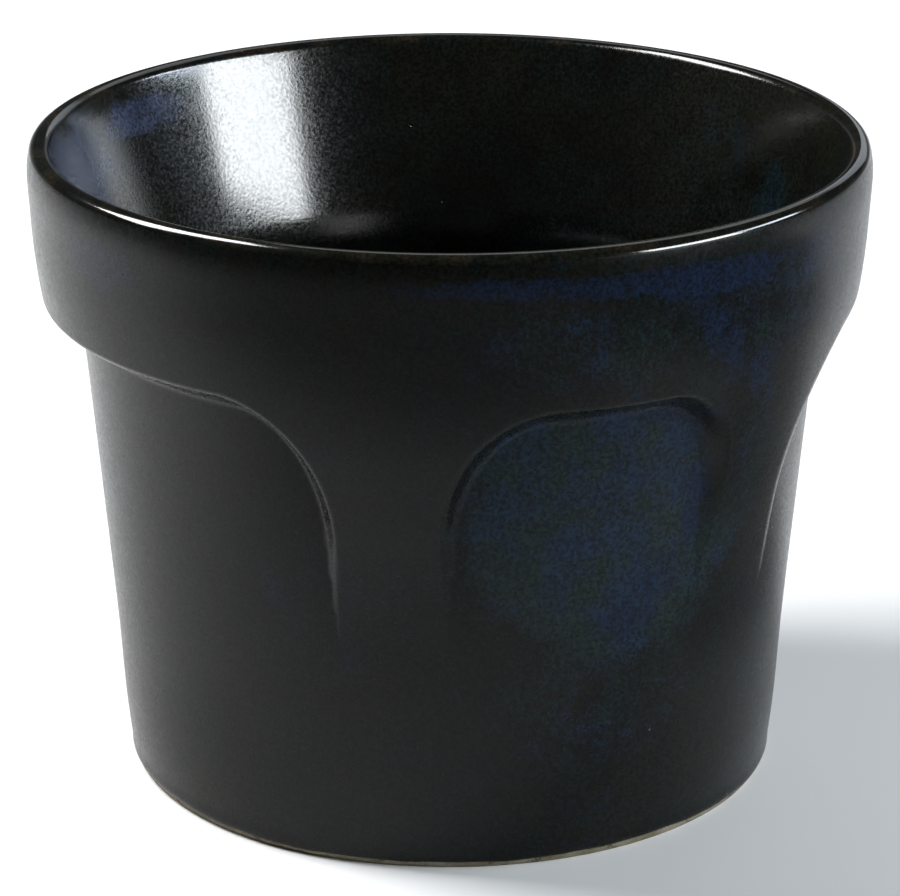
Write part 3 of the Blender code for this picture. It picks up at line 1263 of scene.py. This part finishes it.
@dataclass
class ClayBody:
    """Fired clay under the glaze, bare on the foot ring."""

    form: PotForm
    angles: np.ndarray
    finish: ClayFinish
    cover: float = 0.0004
    rib_cover: float = 0.0011
    bare_cover: float = 0.00016
    cover_range: Range = (0.001, 0.006)
    coarse_step: float = 0.0010
    coarse_end: float = 0.003
    heel_rows: tuple[float, ...] = (0.0024, 0.0018, 0.0013, 0.0009)
    heel_round: float = 0.0005
    heel_steps: int = 5
    ring_rows: tuple[Range, ...] = ((0.0024, 0.0), (0.0004, 0.0), (0.0, 0.0001))
    recess_corner: float = 0.0002
    recess_run: float = 0.0014
    recess_shares: tuple[float, ...] = (0.8, 0.5, 0.2)
    lip_steps: int = 6
    rows_over_lip: int = 2

    def wall_rings(self) -> np.ndarray:
        """Rings of the outside from the lip down to the heel.

        Returns:
            Points by row and seam.
        """
        angle = self.angles[None, :]
        high = np.arange(self.form.outer_lip_centre[1], self.coarse_end, -self.coarse_step)
        rows = np.concatenate((high, self.heel_rows, (self.heel_round,)))
        heights = rows[:, None] + 0.0 * angle
        deeper = (self.rib_cover - self.bare_cover) * eased(heights, *self.cover_range)
        return placed(self.form.outside(angle, heights) - self.bare_cover - deeper, angle, heights)

    def foot_rows(self) -> np.ndarray:
        """Rows of the heel, the ground foot ring and the recess.

        Returns:
            The radius and the height of each row.
        """
        form = self.form
        heel = form.cone(self.heel_round) - self.bare_cover
        turn = np.linspace(0.0, math.pi / 2, self.heel_steps + 1)[1:]
        away = np.stack((np.cos(turn) - 1, 1 - np.sin(turn)), axis=1)
        rounded = (heel, 0.0) + self.heel_round * away
        recess = form.foot_radius - form.foot_ring_width
        ceiling = form.foot_recess + self.cover
        flat = [(recess + out, height) for out, height in self.ring_rows]
        slope = [
            (recess - form.foot_recess_slope, ceiling - self.recess_corner),
            (recess - self.recess_run, ceiling),
        ]
        across = [(share * recess, ceiling) for share in self.recess_shares]
        return np.concatenate((rounded, flat, slope, across))

    def build(self) -> bpy.types.Object:
        """Make the mesh of the clay.

        Returns:
            The clay body with its finish.
        """
        inside = Inside(self.form)
        rows = inside.joint().joined(inside.below_joint()).flipped()
        lip = inside.lip(self.lip_steps).flipped()
        inner = rows.joined(lip)
        hollow = turned_rings(inner.points - inner.outward * self.cover, self.angles, self.form)
        foot = turned_rings(self.foot_rows(), self.angles, self.form)
        rings = np.concatenate((hollow, self.wall_rings()[self.rows_over_lip :], foot))
        poles = (self.form.floor_height - self.cover, float(self.foot_rows()[-1, 1]))
        body = skin_object("clay_pot_body", rings, poles)
        body.data.materials.append(self.finish.material())
        return body


@dataclass
class BaseCoat:
    """Thin glaze on the ceiling of the recess inside the foot ring."""

    form: PotForm
    angles: np.ndarray
    glaze: GlazeFinish
    margin: float = 0.0010
    thickness: float = 0.0003
    rim_steps: int = 6
    under_shares: tuple[float, ...] = (0.1, 0.4, 0.7, 0.9)
    over_shares: tuple[float, ...] = (0.9, 0.4, 0.1)

    def build(self) -> bpy.types.Object:
        """Make the mesh of the coat.

        Returns:
            The coat with its glaze.
        """
        form = self.form
        edge = form.foot_radius - form.foot_ring_width - form.foot_recess_slope - self.margin
        low = form.foot_recess
        turn = np.linspace(-math.pi / 2, math.pi / 2, self.rim_steps + 1)
        half = self.thickness / 2
        rim = np.stack((edge + half * np.cos(turn), low + half + half * np.sin(turn)), axis=1)
        under = [(share * edge, low) for share in self.under_shares]
        over = [(share * edge, low + self.thickness) for share in self.over_shares]
        rings = turned_rings(np.concatenate((under, rim, over)), self.angles, form)
        coat = skin_object("base_glaze_coat", rings, (low, low + self.thickness))
        coat.data.materials.append(self.glaze.material())
        return coat


# Studio


@dataclass(frozen=True)
class Softbox:
    """Rectangular studio lamp aimed at the pot, placed by its bearing from the camera's side."""

    name: str
    bearing_degrees: float
    elevation_degrees: float
    distance: float
    width: float
    height: float
    radiance: float
    colour: tuple[float, float, float] = (1.0, 1.0, 1.0)


@dataclass(frozen=True)
class FloorEdge:
    """Soft edge of a tone on the floor, square to a bearing from the camera's side."""

    bearing_degrees: float
    start: float
    full: float
    top: float = 1.0


@dataclass
class Studio:
    """Pale floor with painted shade in front of and beside the pot, low white surround, softboxes and
    the camera.
    """

    camera_bearing_degrees: float = -20.9
    camera_elevation_degrees: float = 19.70
    camera_distance: float = 0.4881
    camera_reach: Range = (0.01, 20.0)
    aim_height: float = 0.03615
    lens: float = 168.0
    sensor: float = 36.0
    floor_radius: float = 4.0
    floor_sides: int = 96
    floor_roughness: float = 0.9
    floor_colour: Colour = (0.92, 0.92, 0.92, 1.0)
    # Painted shade: the floor's colour darkens in front of the pot, standing in for light that falls
    # off towards the camera.
    front_painted_shade_colour: Colour = (0.34, 0.34, 0.34, 1.0)
    # Painted shade beside the pot: the floor's colour darkens far to its right, and the close edges
    # paint a deeper shadow just right of the pot.
    side_painted_shade_colour: Colour = (0.12, 0.12, 0.12, 1.0)
    front_painted_shade_edges: tuple[FloorEdge, ...] = (FloorEdge(0.0, 0.038, 0.14),)
    side_painted_shade_edges: tuple[FloorEdge, ...] = (FloorEdge(80.0, 0.12, 0.155), FloorEdge(170.0, 0.112, 0.088))
    close_painted_shadow_edges: tuple[FloorEdge, ...] = (
        FloorEdge(90.0, 0.055, 0.085, 0.75),
        FloorEdge(0.0, 0.045, 0.020),
        FloorEdge(180.0, 0.055, 0.030),
    )
    far_glow: tuple[FloorEdge, ...] = (FloorEdge(180.0, 0.08, 0.40, 0.35),)
    surround_colour: Colour = (0.95, 0.97, 1.0, 1.0)
    horizon_strength: float = 0.15
    horizon_range: Range = (0.16, 0.06)
    front_strength: float = 0.08
    front_range: Range = (-0.8, -0.2)
    sky_strength: float = 0.035
    softboxes: tuple[Softbox, ...] = (
        Softbox("left_back_softbox", -105.0, 49.0, 0.45, 0.17, 0.25, 22.5),
        Softbox("right_front_softbox", 67.0, 19.5, 0.80, 0.41, 0.20, 23.0, (0.92, 0.97, 1.0)),
        Softbox("right_side_softbox", 95.0, 22.5, 0.80, 0.28, 0.11, 18.0, (0.78, 0.88, 1.0)),
        Softbox("back_softbox", 168.0, 46.0, 0.50, 0.30, 0.20, 0.9, (0.93, 0.97, 1.0)),
        Softbox("back_right_panel", 160.0, 20.0, 0.80, 0.30, 0.28, 0.9, (0.85, 0.92, 1.0)),
    )

    def level_way(self, bearing_degrees: float) -> Vector:
        """Level direction at a bearing from the camera's side."""
        bearing = math.radians(bearing_degrees + self.camera_bearing_degrees)
        return Vector((math.sin(bearing), -math.cos(bearing), 0.0))

    def spot(self, bearing_degrees: float, elevation_degrees: float, distance: float) -> Vector:
        """Place round the pot.

        Args:
            bearing_degrees: Bearing from the camera's side.
            elevation_degrees: Elevation above the level of the aim.
            distance: Distance from the middle of the pot.

        Returns:
            The place.
        """
        elevation = math.radians(elevation_degrees)
        level = self.level_way(bearing_degrees) * distance * math.cos(elevation)
        return level + Vector((0.0, 0.0, self.aim_height + distance * math.sin(elevation)))

    def aim(self, item: bpy.types.Object, place: Vector) -> None:
        """Put a lamp or the camera in place, looking at the middle of the pot.

        Args:
            item: The lamp or the camera.
            place: Where it goes.
        """
        item.location = place
        look = Vector((0.0, 0.0, self.aim_height)) - place
        item.rotation_euler = look.to_track_quat("-Z", "Y").to_euler()

    def build_camera(self) -> None:
        """Make the camera and hand it to the scene."""
        data = bpy.data.cameras.new("studio_camera")
        data.sensor_fit = "HORIZONTAL"
        data.sensor_width = self.sensor
        data.lens = self.lens
        data.clip_start, data.clip_end = self.camera_reach
        camera = bpy.data.objects.new("studio_camera", data)
        bpy.context.scene.collection.objects.link(camera)
        self.aim(camera, self.spot(0.0, self.camera_elevation_degrees, self.camera_distance))
        bpy.context.scene.camera = camera

    def build_lamps(self) -> None:
        """Hang the softboxes."""
        for box in self.softboxes:
            data = bpy.data.lights.new(box.name, "AREA")
            data.shape = "RECTANGLE"
            data.size = box.width
            data.size_y = box.height
            data.color = box.colour
            data.energy = box.radiance * math.pi * box.width * box.height
            lamp = bpy.data.objects.new(box.name, data)
            bpy.context.scene.collection.objects.link(lamp)
            self.aim(lamp, self.spot(box.bearing_degrees, box.elevation_degrees, box.distance))

    def toned(self, desk: NodeDesk, edges: tuple[FloorEdge, ...]) -> Socket:
        """Nodes for the part of the floor that lies within all of several edges.

        Args:
            desk: Where the material is wired up.
            edges: The edges.

        Returns:
            Socket with 0 outside any of the edges, rising to the product of their tops.
        """
        share: Any = 1.0
        for edge in edges:
            reach = desk.along(self.level_way(edge.bearing_degrees))
            share = desk.times(share, desk.step(reach, edge.start, edge.full, edge.top))
        return share

    def floor_paper(self) -> bpy.types.Material:
        """Make the floor's material: pale far off, with painted shade in front of the pot and beside
        it.

        Returns:
            The material.
        """
        desk = NodeDesk(bpy.data.materials.new("floor_paper"))
        # Painted shade in front of the pot.
        front = self.toned(desk, self.front_painted_shade_edges)
        # Painted shade beside the pot, and a painted shadow close by at its right.
        beside = self.toned(desk, self.side_painted_shade_edges)
        beside = desk.sum_of("MAXIMUM", beside, self.toned(desk, self.close_painted_shadow_edges))
        paper = desk.mix(front, self.floor_colour, self.front_painted_shade_colour)
        seen = desk.add("ShaderNodeLightPath").outputs
        looks = desk.plus(seen["Is Camera Ray"], seen["Is Glossy Ray"])
        looks = desk.sum_of("ADD", looks, seen["Is Transmission Ray"], True)
        return desk.surface(
            {
                "Base Color": desk.mix(beside, paper, self.side_painted_shade_colour),
                "Roughness": self.floor_roughness,
                "Specular IOR Level": 0.0,
                "Emission Color": WHITE,
                "Emission Strength": desk.times(looks, self.toned(desk, self.far_glow)),
            }
        )

    def build_floor(self) -> None:
        """Lay the pale floor."""
        mesh = bpy.data.meshes.new("studio_floor")
        shape = bmesh.new()
        bmesh.ops.create_circle(
            shape, cap_ends=True, radius=self.floor_radius, segments=self.floor_sides
        )
        shape.to_mesh(mesh)
        shape.free()
        mesh.materials.append(self.floor_paper())
        floor = bpy.data.objects.new("studio_floor", mesh)
        bpy.context.scene.collection.objects.link(floor)

    def build_world(self) -> None:
        """Surround the floor with a low white band under a dim ceiling, dim towards the camera."""
        world = bpy.data.worlds.new("studio_surround")
        desk = NodeDesk(world, Coordinates.SURROUND)
        dimmer = self.front_strength - self.horizon_strength
        front = desk.step(desk.along(self.level_way(0.0)), *self.front_range, dimmer)
        band = desk.plus(front, self.horizon_strength - self.sky_strength)
        low = desk.step(desk.height(), *self.horizon_range)
        strength = desk.plus(desk.times(band, low), self.sky_strength)
        inputs = {"Color": self.surround_colour, "Strength": strength}
        light = desk.add("ShaderNodeBackground", inputs)
        desk.add("ShaderNodeOutputWorld", {"Surface": light.outputs[0]})
        bpy.context.scene.world = world

    def build(self) -> None:
        """Set up the whole studio."""
        self.build_camera()
        self.build_lamps()
        self.build_floor()
        self.build_world()
        bpy.context.scene.view_settings.view_transform = "Standard"


def glaze_finishes(form: PotForm) -> tuple[GlazeFinish, ...]:
    """The glazes: satin for the outside, crisp for the lip, glossy for the inside, thin for the base.

    Args:
        form: The pot.

    Returns:
        The four finishes.
    """
    satin = GlazeFinish(
        name="satin_outer_glaze",
        form=form,
        charcoal=(0.0024, 0.0025, 0.0024, 1.0),
        olive=(0.0046, 0.0046, 0.0032, 1.0),
        teal=(0.0016, 0.0062, 0.0058, 1.0),
        slate=(0.0050, 0.0136, 0.0290, 1.0),
        steel=(0.0060, 0.0132, 0.0128, 1.0),
        cobalt=(0.0034, 0.0086, 0.0230, 1.0),
        blooms=OUTER_BLOOMS,
        panel_blooms=PANEL_BLOOMS,
        cobalt_blooms=COBALT_BLOOMS,
        roughness=0.28,
        roughness_swing=0.10,
        frost_swing=0.20,
        specular=0.19,
        peel_size=0.0005,
        peel_depth=0.000002,
    )
    glossy = GlazeFinish(
        name="glossy_inner_glaze",
        form=form,
        charcoal=(0.0024, 0.0025, 0.0020, 1.0),
        olive=(0.0060, 0.0062, 0.0036, 1.0),
        teal=(0.0038, 0.0070, 0.0066, 1.0),
        slate=(0.0042, 0.0100, 0.0150, 1.0),
        steel=(0.0040, 0.0100, 0.0110, 1.0),
        # Pale lilac blue of the liner's patches, partly the glaze's own blue and partly painted
        # reflection of lamp light bounced inside the mouth.
        cobalt=(0.0240, 0.0330, 0.0660, 1.0),
        blooms=LINER_BLOOMS,
        cobalt_blooms=LINER_BLUE_AND_PAINTED_REFLECTION_BLOOMS,
        roughness=0.17,
        roughness_swing=0.06,
        frost_swing=0.30,
        specular=0.60,
        peel_size=0.00038,
        peel_depth=0.000011,
        mottle=0.4,
    )
    crisp = replace(
        glossy, name="crisp_lip_glaze", roughness=0.12, frost_swing=0.0, peel_depth=0.000004
    )
    thin = GlazeFinish(
        name="thin_base_glaze",
        form=form,
        charcoal=(0.010, 0.010, 0.009, 1.0),
        olive=(0.022, 0.021, 0.016, 1.0),
        teal=(0.012, 0.016, 0.015, 1.0),
        slate=(0.020, 0.028, 0.038, 1.0),
        steel=(0.018, 0.026, 0.030, 1.0),
        cobalt=(0.010, 0.020, 0.045, 1.0),
        break_brown=(0.05, 0.033, 0.02, 1.0),
        roughness=0.30,
        roughness_swing=0.12,
        frost_swing=0.10,
        specular=0.35,
        peel_size=0.0010,
        peel_depth=0.00003,
    )
    return satin, crisp, glossy, thin


def main() -> None:
    """Read the pot's sizes from the part, build its pieces in order, then the studio."""
    logging.basicConfig(level=logging.INFO)
    coat_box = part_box("outer_glaze")
    form = PotForm(height=coat_box[1].z, rim_radius=coat_box[1].x)
    ribbed = ring_angles(form)
    even = even_angles()
    satin, crisp, glossy, thin = glaze_finishes(form)
    hand_over(ClayBody(form, even, ClayFinish()).build(), "clay_body")
    hand_over(OuterCoat(form, ribbed, satin, crisp, glossy).build(), "outer_glaze")
    hand_over(Liner(form, even, glossy).build(), "inner_glaze")
    hand_over(BaseCoat(form, even, thin).build(), "base_glaze")
    Studio().build()


if __name__ == "__main__":
    main()
